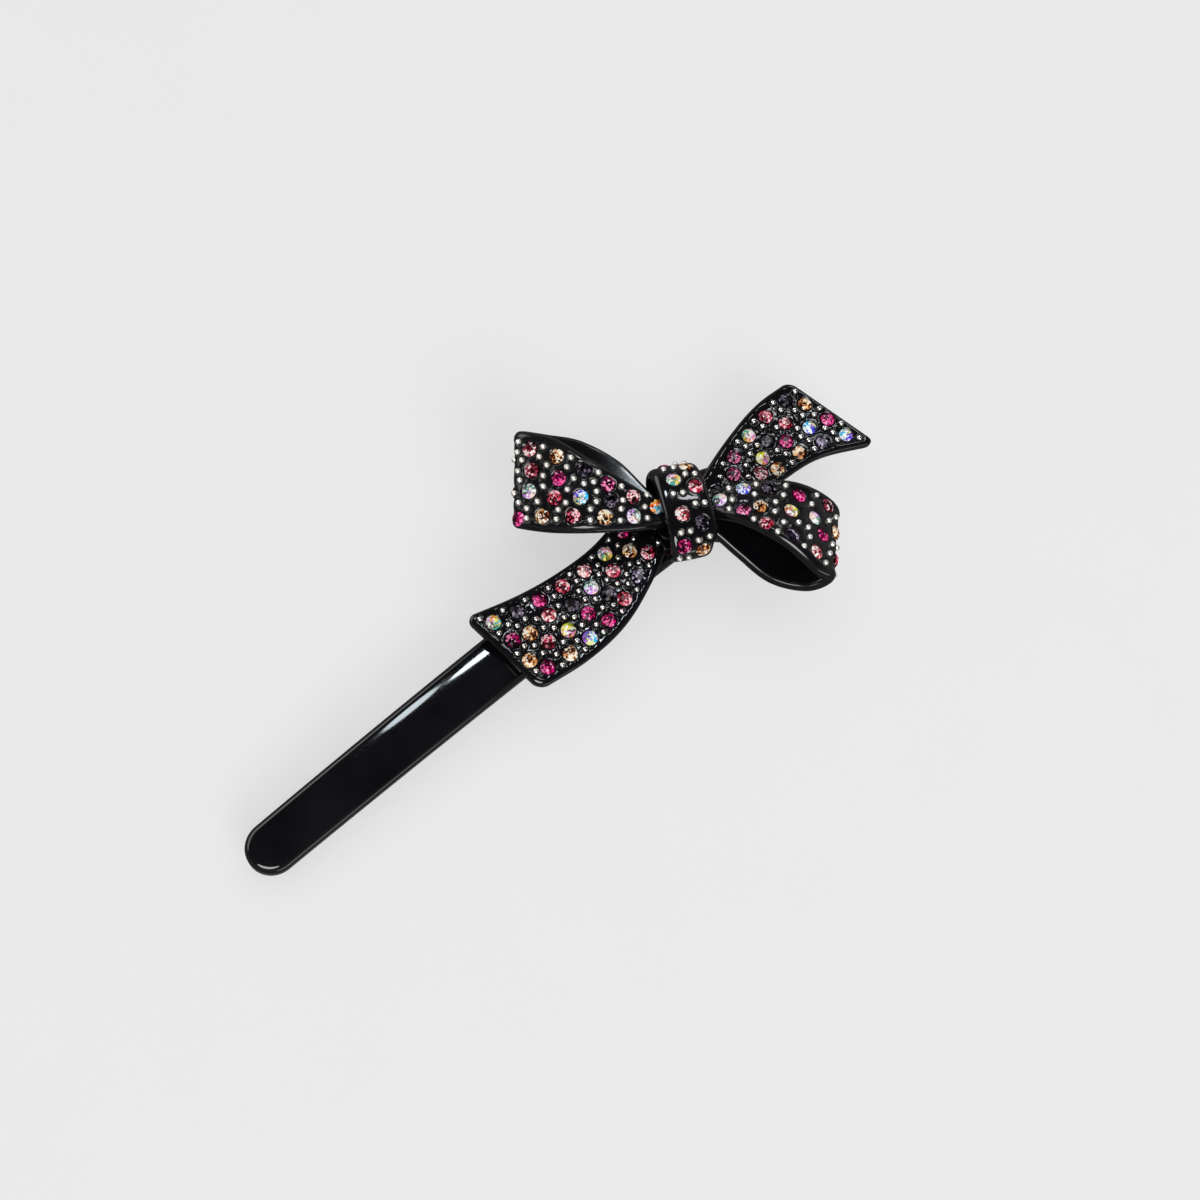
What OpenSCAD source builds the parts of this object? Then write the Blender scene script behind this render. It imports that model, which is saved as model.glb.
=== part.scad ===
// Hair barrette: a slim arched acetate bar that carries a ribbon bow, over a one-piece sprung clasp.
// The bar lies along X, the bow is near its +X end, and Z = 0 is the clasp's flat underside.

/* [Bar] */
// Overall length of the acetate bar
bar_l = 91; // [87:1:100]
// Width of the bar at the bow end
bar_w = 9; // [7.6:0.1:9.4]
// Width of the bar at the plain end
bar_end_w = 7.1; // [6.6:0.1:7.6]
// Thickness of the bar along its middle line
bar_t = 2.8; // [2.4:0.1:3.2]
// Radius of the lengthwise arch, to the top of the bar
arch_r = 370; // [340:10:500]
// Radius of the domed top across the bar
crown_r = 14; // [11:1:30]
// Radius of the bar's long top edges
bar_edge_r = 0.8; // [0.5:0.1:1]

/* [Bow] */
// Distance from the middle of the bar to the middle of the knot
knot_x = 31; // [28:1:33]
// Distance from the bar's middle line to the middle of the knot, across the bar
knot_y = -0.7; // [-1:0.1:0]
// Thickness of the acetate ribbon
ribbon_t = 1.9; // [1.5:0.1:1.9]
// Radius that rounds the ribbon's long edges
ribbon_edge_r = 0.7; // [0.4:0.1:0.9]
// Radius of the corners at the tips of the tails
corner_r = 1.6; // [0.8:0.1:2]
// Distance from the knot to the outside turn of the left loop
left_reach = 23.8; // [22.5:0.1:24.2]
// Distance from the knot to the outside turn of the right loop
right_reach = 22.4; // [22:0.1:23.5]
// Width of the knot band across the bow
knot_w = 14; // [13.8:0.1:15]
// Height of the knot's top above the bar
knot_top = 10; // [9.9:0.1:10.6]
// Length of the knot band along the loops
knot_l = 7.2; // [6.5:0.1:7.6]
// Wall of the knot band
knot_t = 1.2; // [1:0.1:1.3]
// How much shorter the knot band is where it turns down on its near side
knot_nip = 0.9; // [0:0.1:1.4]

/* [Clasp] */
// Width of the spring strip
clasp_w = 5; // [4:0.5:6]
// Thickness of the spring strip
clasp_t = 0.8; // [0.6:0.1:1]
// Height of the space for hair, at the middle of the bar
hair_gap = 4.6; // [4.4:0.1:6]
// Length of the clasp, without its bend
clasp_l = 78; // [70:1:80]
// Outside radius of the clasp's hairpin bend
bend_r = 2.1; // [1.9:0.1:2.3]

/* [Hidden] */
$fn = 96;

// Heights, from the clasp's underside up
seat = 0.25;
bar_under = clasp_t + hair_gap + clasp_t + seat;
bar_top = bar_under + bar_t;
arch_z = bar_top - arch_r;
bar_at_knot = arch_z + sqrt(arch_r * arch_r - knot_x * knot_x);

acetate = [0.06, 0.055, 0.065];
steel = [0.78, 0.79, 0.8];

// Directions of the loops and of the knot band, in degrees from the bar
loop_heading = -51;
knot_heading = -27;
// How much further out one end of a loop's turn reaches than the other, for each mm across it
left_skew = -0.18;
right_skew = 0.04;

// The knot band's outline: its lowest point above the bar, and how square the superellipse is
knot_base = 2.6;
knot_square = 2.4;
nip_from = 0.7;

// Number of rings along each piece, and the angles of the points round each edge of a ribbon
loop_rings = 44;
tail_rings = 22;
corner_rings = 4;
knot_rings = 48;
bar_rings = 20;
bar_end_rings = 8;
bar_edge_steps = 4;
bar_top_steps = 4;
arch_steps = 24;
bend_steps = 24;
tip_steps = 8;
edge_angles = [-90:45:90];

// Tails, a row for each section from the knot to the tip, from the middle of the knot at the bar's top.
// Columns: x, y and z of the first edge, then x, y and z of the second edge.
// The left tail's rows are as it lies after half a turn about the knot.
tail_right_rows = [
    [0.2, 0.3, 1.1, 3.7, -6.7, 1.1],
    [9.0, 3.4, 1.2, 12.5, -5.0, 1.2],
    [16.5, 5.5, 1.3, 19.0, -5.0, 1.3],
    [23.5, 6.7, 1.3, 25.5, -6.0, 1.7],
    [30.4, 6.5, 1.2, 33.5, -9.8, 2.2]
];
tail_left_rows = [
    [0.2, 0.3, 1.4, 3.7, -6.7, 1.4],
    [9.0, 4.5, 1.9, 12.0, -5.0, 1.9],
    [16.5, 7.0, 2.3, 19.0, -5.0, 2.3],
    [24.0, 7.5, 2.5, 26.0, -6.0, 2.5],
    [32.4, 6.5, 2.6, 33.9, -8.0, 2.9]
];
tail_l = 32.5;

// Loops, a row for each section from inside the knot, out over the top, round the turn and back below.
// Columns: distance out, height above the bar, first edge, second edge, lean of the section in degrees.
loop_left_rows = [
    [0.4, 7.4, 2.5, -0.4, 0],
    [4.0, 7.5, 4.0, -0.4, 4],
    [8.5, 9.8, 6.0, -1.0, 14],
    [14.5, 10.5, 7.6, -2.9, 16],
    [19.5, 8.5, 7.7, -5.7, 16],
    [left_reach, 6.0, 7.0, -6.8, 16],
    [20.0, 3.3, 5.5, -8.3, 16],
    [15.0, 2.5, 4.0, -8.9, 12],
    [9.5, 3.8, 3.0, -6.8, 3],
    [4.0, 5.1, 2.5, -2.1, 0],
    [0.4, 5.1, 2.5, -2.0, 0]
];
loop_right_rows = [
    [0.4, 7.4, 2.5, -0.5, 0],
    [4.0, 7.5, 4.0, -0.4, 4],
    [8.5, 9.8, 6.0, -1.6, 14],
    [14.5, 10.5, 7.5, -4.3, 16],
    [19.5, 8.5, 7.8, -6.6, 16],
    [right_reach, 6.0, 6.9, -6.9, 16],
    [20.0, 3.3, 5.5, -8.0, 16],
    [15.0, 2.5, 4.0, -7.2, 12],
    [9.5, 3.8, 3.0, -4.2, 3],
    [4.0, 5.1, 2.5, -1.6, 0],
    [0.4, 5.1, 2.5, -1.8, 0]
];
turn_row = 5;

function unit(v) = v / norm(v);
function heading(a) = [cos(a), sin(a), 0];

// A smooth curve through the rows, at t from 0 to 1
function spline(rows, t) =
    let (
        spans = len(rows) - 1,
        place = min(t * spans, spans - 0.0001),
        i = floor(place),
        u = place - i,
        p1 = rows[i],
        p2 = rows[i + 1],
        p0 = i > 0 ? rows[i - 1] : 2 * p1 - p2,
        p3 = i + 2 <= spans ? rows[i + 2] : 2 * p2 - p1
    )
    0.5 * (2 * p1 + (p2 - p0) * u + (2 * p0 - 5 * p1 + 4 * p2 - p3) * u * u
        + (3 * p1 - p0 - 3 * p2 + p3) * u * u * u);

// The two edges of a tail at t, pulled in near the tip by the corners' radius
function tail_edges(rows, t) =
    let (
        row = spline(rows, t),
        a = [row[0], row[1], row[2]],
        b = [row[3], row[4], row[5]],
        left = (1 - t) * tail_l,
        pull = left < corner_r ? corner_r - sqrt(corner_r * corner_r - pow(corner_r - left, 2)) : 0,
        across = unit(a - b)
    )
    [a - across * pull, b + across * pull];

// The two edges of a loop at t: out from the knot, up, and across on a leaning section
function loop_edges(rows, skew, t) =
    let (
        row = spline(rows, t),
        far = rows[turn_row][0],
        out = heading(loop_heading),
        side = heading(loop_heading + 90) * cos(row[4]) - [0, 0, sin(row[4])]
    )
    [for (w = [row[2], row[3]]) out * row[0] * (1 + skew * w / far) + [0, 0, row[1]] + side * w];

// The two edges of the knot band at an angle round its superellipse
function knot_edges(angle) =
    let (
        rise = (knot_top - knot_base - knot_t) / 2,
        half = (knot_w - knot_t) / 2,
        w = sign(cos(angle)) * pow(abs(cos(angle)), 2 / knot_square),
        z = sign(sin(angle)) * pow(abs(sin(angle)), 2 / knot_square),
        middle = heading(knot_heading + 90) * w * half + [0, 0, (knot_top + knot_base) / 2 + z * rise],
        turned = max(0, -w - nip_from) / (1 - nip_from),
        nip = knot_nip * (1 - cos(180 * turned)) / 2,
        along = heading(knot_heading)
    )
    [middle + along * (knot_l / 2 - nip), middle - along * knot_l / 2];

// One ring of points round a strip between two edges: flat faces and rounded edges
function ring(edges, tangent, t) =
    let (
        middle = (edges[0] + edges[1]) / 2,
        half = norm(edges[0] - edges[1]) / 2,
        across = unit(edges[0] - edges[1]),
        up = unit(cross(tangent, across)),
        flat = half - ribbon_edge_r
    )
    [for (s = [1, -1]) for (a = edge_angles)
        middle + across * s * (flat + ribbon_edge_r * cos(a)) + up * s * t / 2 * sin(a)];

function middle_of(edges) = (edges[0] + edges[1]) / 2;

// Rings for every pair of edges, each square to the strip's own middle line
function rings(pairs, t, closed) =
    let (n = len(pairs))
    [for (i = [0:n - 1])
        let (
            before = closed ? (i + n - 1) % n : max(i - 1, 0),
            after = closed ? (i + 1) % n : min(i + 1, n - 1)
        )
        ring(pairs[i], middle_of(pairs[after]) - middle_of(pairs[before]), t)];

// A solid through rings of points, either joined end to end or closed by flat ends
module loft(all_rings, closed = false) {
    n = len(all_rings);
    m = len(all_rings[0]);
    spans = closed ? n : n - 1;
    sides = [for (i = [0:spans - 1]) for (j = [0:m - 1])
        let (
            p = i * m + j,
            q = i * m + (j + 1) % m,
            r = ((i + 1) % n) * m + j,
            s = ((i + 1) % n) * m + (j + 1) % m
        )
        each [[p, q, s], [p, s, r]]];
    ends = closed ? [] : [[for (j = [m - 1:-1:0]) j], [for (j = [0:m - 1]) (n - 1) * m + j]];
    polyhedron(points = [for (one = all_rings) each one], faces = concat(sides, ends), convexity = 8);
}

module strip(pairs, t, closed = false) {
    color(acetate) loft(rings(pairs, t, closed), closed);
}

// Places along a tail: even steps, then closer ones round the corners of the tip
corner_share = corner_r / tail_l;
tail_places = concat(
    [for (i = [0:tail_rings]) i / tail_rings * (1 - corner_share)],
    [for (i = [1:corner_rings]) 1 - corner_share * (1 - sin(i * 90 / corner_rings))]
);

module at_knot(turn) {
    translate([knot_x, knot_y, bar_at_knot]) rotate([0, 0, turn]) children();
}

module tail(rows) {
    strip([for (t = tail_places) tail_edges(rows, t)], ribbon_t);
}

module loop(rows, skew) {
    strip([for (i = [0:loop_rings]) loop_edges(rows, skew, i / loop_rings)], ribbon_t);
}

module tail_left() {
    at_knot(180) tail(tail_left_rows);
}

module tail_right() {
    at_knot(0) tail(tail_right_rows);
}

module loop_left() {
    at_knot(180) loop(loop_left_rows, left_skew);
}

module loop_right() {
    at_knot(0) loop(loop_right_rows, right_skew);
}

module knot() {
    at_knot(0) strip([for (i = [0:knot_rings - 1]) knot_edges(-i * 360 / knot_rings)], knot_t, closed = true);
}

// Half the bar's width at x: an even taper, with round ends
function bar_half(x) =
    let (
        share = x / bar_l + 0.5,
        half = (bar_end_w + (bar_w - bar_end_w) * share) / 2,
        left = min(half, bar_l / 2 - abs(x))
    )
    sqrt(half * half - pow(half - left, 2));

// The bar's section at x: a flat underside, a domed top and round top edges
function bar_ring(x) =
    let (
        half = bar_half(x),
        r = min(bar_edge_r, half * 4 / 5),
        under = arch_z + sqrt(pow(arch_r - bar_t, 2) - x * x),
        flat = half - r,
        edge = [for (i = [0:bar_edge_steps])
            let (a = i * 90 / bar_edge_steps)
            [flat + r * cos(a), r - r * sin(a)]],
        middle = [for (i = [bar_top_steps - 1:-1:1 - bar_top_steps]) [flat * i / bar_top_steps, 0]],
        other = [for (i = [len(edge) - 1:-1:0]) [-edge[i][0], edge[i][1]]],
        top = [for (p = concat(edge, middle, other))
            [x, p[0], under + bar_t - crown_r + sqrt(crown_r * crown_r - p[0] * p[0]) - p[1]]]
    )
    concat([[x, -half, under], [x, half, under]], top);

// Places along the bar: close ones round each end, then even steps
end_steps = [for (i = [1:bar_end_rings]) bar_w / 2 * (1 - cos(i * 90 / bar_end_rings))];
bar_places = concat(
    [for (d = end_steps) d - bar_l / 2],
    [for (i = [1:bar_rings - 1]) (bar_l - bar_w) * (i / bar_rings - 0.5)],
    [for (i = [len(end_steps) - 1:-1:0]) bar_l / 2 - end_steps[i]]
);

module bar() {
    color(acetate) loft([for (x = bar_places) bar_ring(x)]);
}

// Points on an arc from one angle towards another, without its last point unless it is whole
function arc(middle, r, from, to, steps, whole = false) =
    [for (i = [0:steps - (whole ? 0 : 1)])
        let (a = from + (to - from) * i / steps)
        middle + r * [cos(a), sin(a)]];

// The clasp's side view, as one outline: an arched leaf under the bar, a hairpin bend at the bow end
// and a flat leaf. The bend's outside touches the arched leaf's outside and the floor.
module clasp_profile() {
    half = clasp_l / 2;
    outer_r = arch_r - bar_t - seat;
    arch_middle = [0, arch_z];
    bend_middle = [sqrt(pow(outer_r - bend_r, 2) - pow(bend_r - arch_z, 2)), bend_r];
    tip_angle = 90 + asin(half / outer_r);
    bend_angle = atan2(bend_r - arch_z, bend_middle[0]);
    polygon(concat(
        arc(arch_middle, outer_r, tip_angle, bend_angle, arch_steps),
        arc(bend_middle, bend_r, bend_angle, -90, bend_steps, whole = true),
        arc([-half, clasp_t / 2], clasp_t / 2, -90, -270, tip_steps, whole = true),
        arc(bend_middle, bend_r - clasp_t, -90, bend_angle, bend_steps),
        arc(arch_middle, outer_r - clasp_t, bend_angle, tip_angle, arch_steps, whole = true)
    ));
}

module clasp() {
    color(steel) rotate([90, 0, 0]) linear_extrude(height = clasp_w, center = true) clasp_profile();
}

bar();
tail_left();
tail_right();
loop_left();
loop_right();
knot();
clasp();
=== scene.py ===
import bpy
import bmesh
import numpy as np
from mathutils import Matrix, Vector


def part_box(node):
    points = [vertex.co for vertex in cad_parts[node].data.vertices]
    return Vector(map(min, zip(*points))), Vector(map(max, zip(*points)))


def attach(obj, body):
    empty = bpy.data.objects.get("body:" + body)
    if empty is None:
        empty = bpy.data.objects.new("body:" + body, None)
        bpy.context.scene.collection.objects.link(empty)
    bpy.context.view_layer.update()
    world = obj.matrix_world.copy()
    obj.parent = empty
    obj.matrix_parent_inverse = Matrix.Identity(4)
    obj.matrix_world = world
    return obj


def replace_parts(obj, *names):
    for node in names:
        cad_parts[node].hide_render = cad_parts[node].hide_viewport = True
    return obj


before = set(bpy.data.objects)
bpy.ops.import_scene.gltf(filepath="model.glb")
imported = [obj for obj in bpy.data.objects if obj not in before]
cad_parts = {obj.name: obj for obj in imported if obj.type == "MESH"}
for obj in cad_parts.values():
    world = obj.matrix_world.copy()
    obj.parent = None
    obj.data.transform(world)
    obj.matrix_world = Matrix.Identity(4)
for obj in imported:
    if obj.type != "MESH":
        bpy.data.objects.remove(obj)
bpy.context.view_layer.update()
mm = 0.001
randomDraws = np.random.default_rng(11)

# the acetate bar, in mm, and how many steps its mesh takes; the bow's knot sits on its top
barShape = {
    "width": 9.0,            # at the bow end
    "endWidth": 7.1,         # at the plain end
    "thickness": 2.8,
    "archRadius": 370.0,     # lengthwise, to the top
    "crownRadius": 14.0,     # dome across the top
    "edgeRadius": 0.9,
    "underEdgeRadius": 0.35,
    "lengthSteps": 120, "endSteps": 26, "topSteps": 26, "edgeSteps": 12,
    "underSteps": 10, "underEdgeSteps": 6,
}
bowPlace = {"knotX": 31.0, "knotY": -0.7}

barLow, barHigh = (np.array(corner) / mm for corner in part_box("bar"))
archCentreZ = barHigh[2] - barShape["archRadius"]
bowOrigin = np.array([
    bowPlace["knotX"],
    bowPlace["knotY"],
    archCentreZ + np.sqrt(barShape["archRadius"] ** 2 - bowPlace["knotX"] ** 2),
])


# each row divided by its own length
def unitRows(v):
    return v / np.linalg.norm(v, axis=-1, keepdims=True)


# the level direction at an angle from +X towards +Y
def heading(degrees):
    a = np.radians(degrees)
    return np.array([np.cos(a), np.sin(a), 0.0])


# from 0 to 1 as three x squared less two x cubed, level at both ends
def smoothStep(x):
    x = np.clip(x, 0, 1)
    return x * x * (3 - 2 * x)


# curve through the rows: on each span a cubic whose slope at a row is half the step between its neighbours
def splineRows(rows, t):
    spans = len(rows) - 1
    padded = np.vstack([2 * rows[0] - rows[1], rows, 2 * rows[-1] - rows[-2]])
    place = np.clip(t, 0, 1) * spans
    i = np.minimum(place.astype(int), spans - 1)
    u = (place - i)[:, None]
    p0, p1, p2, p3 = padded[i], padded[i + 1], padded[i + 2], padded[i + 3]
    return 0.5 * (2 * p1 + (p2 - p0) * u + (2 * p0 - 5 * p1 + 4 * p2 - p3) * u ** 2
                  + (3 * p1 - p0 - 3 * p2 + p3) * u ** 3)


# a new object in the scene, at the origin until it is moved
def addObject(name, data):
    thing = bpy.data.objects.new(name, data)
    bpy.context.scene.collection.objects.link(thing)
    return thing


# camera and light

# the view: the bar's turn and tilts in degrees, the knot's place in the picture, distance in mm
cameraView = {
    "pictureSize": 1200,
    "knotPixel": (684.4, 507.4),
    "pixelsPerMm": 7.0,
    "distance": 202.5,
    "aimHeight": 8.0,
    "turn": 41.93,
    "tiltX": -19.93,
    "tiltY": 8.47,
    "sensor": 36.0,
    "clip": (0.01, 20),      # metres
}


# the picture's right, up and back are the bar's axes turned about Z, then Y, then X, and the camera
# stands where the knot falls on its place in the picture
def placeCamera(view):
    c, s = np.cos(np.radians(view["tiltX"])), np.sin(np.radians(view["tiltX"]))
    aboutX = np.array([[1, 0, 0], [0, c, -s], [0, s, c]])
    c, s = np.cos(np.radians(view["tiltY"])), np.sin(np.radians(view["tiltY"]))
    aboutY = np.array([[c, 0, s], [0, 1, 0], [-s, 0, c]])
    c, s = np.cos(np.radians(view["turn"])), np.sin(np.radians(view["turn"]))
    aboutZ = np.array([[c, -s, 0], [s, c, 0], [0, 0, 1]])
    axes = aboutX @ aboutY @ aboutZ                      # rows: right, up, back
    half = view["pictureSize"] / 2
    right = (view["knotPixel"][0] - half) / view["pixelsPerMm"]
    up = (half - view["knotPixel"][1]) / view["pixelsPerMm"]
    target = bowOrigin + np.array([0, 0, view["aimHeight"]])
    spot = target + axes.T @ np.array([-right, -up, view["distance"]])
    data = bpy.data.cameras.new("camera")
    data.sensor_width = view["sensor"]
    data.lens = view["pixelsPerMm"] * view["distance"] * view["sensor"] / view["pictureSize"]
    data.clip_start, data.clip_end = view["clip"]
    camera = addObject("camera", data)
    turned = Matrix([list(row) for row in axes.T]).to_4x4()
    camera.matrix_world = Matrix.Translation(Vector(spot * mm)) @ turned
    bpy.context.scene.camera = camera


# soft lights: azimuth from +X towards +Y and height in degrees, distance and size in metres, and
# brightness of the surface; the tent and wall light matt surfaces, and the gloss mirrors the others
softLights = {
    "windowSide": {"azimuth": 25, "height": 60, "away": 1.3, "size": (0.2, 0.14), "shine": 13,
                   "colour": (0.95, 0.97, 1.0), "lights": "gloss"},
    "windowNear": {"azimuth": 64, "height": 60, "away": 1.3, "size": (0.22, 0.14), "shine": 34,
                   "colour": (0.84, 0.94, 1.0), "lights": "gloss"},
    "windowFar": {"azimuth": 82.5, "height": 59, "away": 1.3, "size": (0.14, 0.15), "shine": 18,
                  "colour": (0.84, 0.94, 1.0), "lights": "gloss"},
    "backPanel": {"azimuth": 108, "height": 21, "away": 1.7, "size": (1.9, 1.0), "shine": 2.2,
                  "colour": (1.0, 1.0, 1.0), "lights": "gloss"},
    "crestPanel": {"azimuth": 24, "height": 43, "away": 1.7, "size": (0.42, 0.26), "shine": 6.0,
                   "colour": (1.0, 1.0, 1.0), "lights": "gloss"},
    "lowPanel": {"azimuth": -100, "height": -9, "away": 1.7, "size": (1.3, 0.36), "shine": 3.0,
                 "colour": (1.0, 1.0, 1.0), "lights": "gloss"},
    "cameraPanel": {"azimuth": 212, "height": 46, "away": 1.5, "size": (1.1, 0.8), "shine": 10.0,
                    "colour": (1.0, 0.985, 0.96), "lights": "gloss"},
    "wall": {"azimuth": -105, "height": 38, "away": 1.7, "size": (1.1, 0.7), "shine": 6.4,
             "colour": (1.0, 0.985, 0.96), "lights": "matt"},
    "tent": {"azimuth": 0, "height": 90, "away": 1.5, "size": (3.2, 3.2), "shine": 1.25,
             "colour": (1.0, 1.0, 1.0), "lights": "matt"},
}
# grey of the room at each height, from straight down at 0 to straight up at 1
roomLight = {"shades": ((0.0, 0.13), (0.42, 0.16), (0.5, 0.27), (0.6, 0.25), (0.8, 0.05)), "strength": 1.0}


# each light is a flat ellipse facing the bow, and its power is its brightness times its area times pi
def hangSoftLights():
    aim = Vector(bowOrigin * mm)
    for name, look in softLights.items():
        data = bpy.data.lights.new(name, "AREA")
        data.shape = "ELLIPSE"
        data.size, data.size_y = look["size"]
        area = np.pi / 4 * data.size * data.size_y
        data.energy = np.pi * area * look["shine"]
        data.color = look["colour"]
        lamp = addObject(name, data)
        a, h = np.radians(look["azimuth"]), np.radians(look["height"])
        towards = Vector((np.cos(a) * np.cos(h), np.sin(a) * np.cos(h), np.sin(h)))
        lamp.location = aim + towards * look["away"]
        lamp.rotation_mode = "QUATERNION"
        lamp.rotation_quaternion = towards.to_track_quat("Z", "Y")
        lamp.visible_glossy = look["lights"] != "matt"
        lamp.visible_diffuse = look["lights"] != "gloss"


# the room behind the lights: a ramp of greys over the height of the direction looked in
def lightRoom(look):
    world = bpy.data.worlds.new("room")
    bpy.context.scene.world = world
    world.use_nodes = True
    nodes, links = world.node_tree.nodes, world.node_tree.links
    background = nodes["Background"]
    place = nodes.new("ShaderNodeTexCoord")
    split = nodes.new("ShaderNodeSeparateXYZ")
    ramp = nodes.new("ShaderNodeValToRGB")
    ramp.color_ramp.elements.remove(ramp.color_ramp.elements[1])
    for k, (position, grey) in enumerate(look["shades"]):
        stop = ramp.color_ramp.elements.new(position) if k else ramp.color_ramp.elements[0]
        stop.position = position
        stop.color = (grey, grey, grey, 1)
    height = nodes.new("ShaderNodeMapRange")
    height.inputs["From Min"].default_value = -1
    links.new(place.outputs["Generated"], split.inputs[0])
    links.new(split.outputs["Z"], height.inputs["Value"])
    links.new(height.outputs["Result"], ramp.inputs["Fac"])
    links.new(ramp.outputs["Color"], background.inputs["Color"])
    background.inputs["Strength"].default_value = look["strength"]


# materials

# a Principled material; each setting is a socket's name, with an underline for a space
def startMaterial(name, **settings):
    material = bpy.data.materials.new(name)
    material.use_nodes = True
    tree = material.node_tree
    shader = tree.nodes["Principled BSDF"]
    for socket, value in settings.items():
        shader.inputs[socket.replace("_", " ")].default_value = value
    return material, tree.nodes, tree.links, shader


# one of a look's noises, on the piece's own coordinates, so its scale is in waves per metre
def addNoise(nodes, links, look, kind):
    place = nodes.new("ShaderNodeTexCoord")
    mapping = nodes.new("ShaderNodeMapping")
    mapping.inputs["Scale"].default_value = look.get(kind + "Stretch", (1, 1, 1))
    noise = nodes.new("ShaderNodeTexNoise")
    noise.inputs["Scale"].default_value = look[kind + "Scale"]
    noise.inputs["Detail"].default_value = look[kind + "Detail"]
    links.new(place.outputs["Object"], mapping.inputs["Vector"])
    links.new(mapping.outputs["Vector"], noise.inputs["Vector"])
    return noise.outputs["Fac"]


# a value spread evenly from low to high
def addRange(nodes, links, source, low, high):
    spread = nodes.new("ShaderNodeMapRange")
    spread.inputs["To Min"].default_value = low
    spread.inputs["To Max"].default_value = high
    links.new(source, spread.inputs["Value"])
    return spread.outputs["Result"]


noiseBand = (0.3, 0.7)                                   # where nearly all of a noise's values lie


# the first colour where the noise is low, the second where it is high, and a blend between
def addColours(nodes, links, source, first, second):
    ramp = nodes.new("ShaderNodeValToRGB")
    for stop, colour, position in zip(ramp.color_ramp.elements, (first, second), noiseBand):
        stop.color = colour + (1,)
        stop.position = position
    links.new(source, ramp.inputs["Fac"])
    return ramp.outputs["Color"]


# relief in the shading alone; its distance is in metres
def addBump(nodes, links, shader, source, strength, distance):
    bump = nodes.new("ShaderNodeBump")
    bump.inputs["Strength"].default_value = strength
    bump.inputs["Distance"].default_value = distance
    links.new(source, bump.inputs["Height"])
    links.new(bump.outputs["Normal"], shader.inputs["Normal"])


# black acetate: faint clouds in the depth of the plastic, polishing haze and fine ripples in the gloss
acetateLook = {
    "ior": 1.49, "dark": (0.0022, 0.0022, 0.003), "pale": (0.0055, 0.0053, 0.0068),
    "cloudScale": 160, "cloudDetail": 4, "hazeScale": 900, "hazeDetail": 5,
    "rippleScale": 420, "rippleDetail": 2, "rippleDistance": 0.0001,
}
# haze is the lowest and highest roughness, ripple the strength of the ripples
acetateFinishes = {
    "bowAcetate": {"haze": (0.035, 0.09), "ripple": 0.03},
    "loopAcetate": {"haze": (0.13, 0.21), "ripple": 0.04},
    "barAcetate": {"haze": (0.035, 0.09), "ripple": 0.004},
}


def makeAcetate(name):
    look, finish = acetateLook, acetateFinishes[name]
    material, nodes, links, shader = startMaterial(name, IOR=look["ior"])
    clouds = addNoise(nodes, links, look, "cloud")
    links.new(addColours(nodes, links, clouds, look["dark"], look["pale"]), shader.inputs["Base Color"])
    haze = addNoise(nodes, links, look, "haze")
    links.new(addRange(nodes, links, haze, *finish["haze"]), shader.inputs["Roughness"])
    ripples = addNoise(nodes, links, look, "ripple")
    addBump(nodes, links, shader, ripples, finish["ripple"], look["rippleDistance"])
    return material


# brushed spring steel: fine scratches along the strip
steelLook = {
    "dark": (0.42, 0.425, 0.43), "pale": (0.62, 0.62, 0.61), "haze": (0.22, 0.4),
    "scratchScale": 900, "scratchDetail": 6, "scratchStretch": (0.06, 1, 1),
    "scratchStrength": 0.25, "scratchDistance": 0.00005,
}


def makeSteel(look):
    material, nodes, links, shader = startMaterial("springSteel", Metallic=1.0)
    brushed = addNoise(nodes, links, look, "scratch")
    links.new(addColours(nodes, links, brushed, look["dark"], look["pale"]), shader.inputs["Base Color"])
    links.new(addRange(nodes, links, brushed, *look["haze"]), shader.inputs["Roughness"])
    addBump(nodes, links, shader, brushed, look["scratchStrength"], look["scratchDistance"])
    return material


# foiled glass: every facet's colour, with painted light, shade and glints standing in for the foil's
# reflections, is in the mesh, a little uneven, under a clear polished skin
crystalLook = {
    "ior": 1.5, "specular": 0.13, "coat": 0.06, "coatRoughness": 0.03, "haze": (0.1, 0.25),
    "unevenScale": 2600, "unevenDetail": 2, "unevenShare": 0.35, "dim": (0.62, 0.62, 0.62),
    "full": (1, 1, 1),
}


def makeCrystal(look):
    material, nodes, links, shader = startMaterial(
        "crystal", IOR=look["ior"], Specular_IOR_Level=look["specular"], Coat_Weight=look["coat"],
        Coat_Roughness=look["coatRoughness"])
    # the facets' own colour together with their painted light, shade and glints
    litFacetColour = nodes.new("ShaderNodeAttribute")
    litFacetColour.attribute_name = "facetColourAndPaintedLight"
    uneven = addNoise(nodes, links, look, "uneven")
    mix = nodes.new("ShaderNodeMix")
    mix.data_type = "RGBA"
    mix.blend_type = "MULTIPLY"
    mix.inputs["Factor"].default_value = look["unevenShare"]
    links.new(litFacetColour.outputs["Color"], mix.inputs["A"])
    links.new(addColours(nodes, links, uneven, look["dim"], look["full"]), mix.inputs["B"])
    links.new(mix.outputs["Result"], shader.inputs["Base Color"])
    links.new(addRange(nodes, links, uneven, *look["haze"]), shader.inputs["Roughness"])
    return material


# polished white metal with faint tarnish; the tails' balls are the more mirror-like
ballSkin = {"coat": 0.3, "coatRoughness": 0.05, "tarnishScale": 1500, "tarnishDetail": 3}
ballLooks = {
    "satin": {"metal": 0.78, "haze": (0.24, 0.36), "dull": (0.94, 0.9, 0.82), "bright": (1.0, 0.98, 0.93)},
    "mirror": {"metal": 1.0, "haze": (0.1, 0.18), "dull": (0.74, 0.73, 0.7), "bright": (0.92, 0.91, 0.88)},
}


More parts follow.
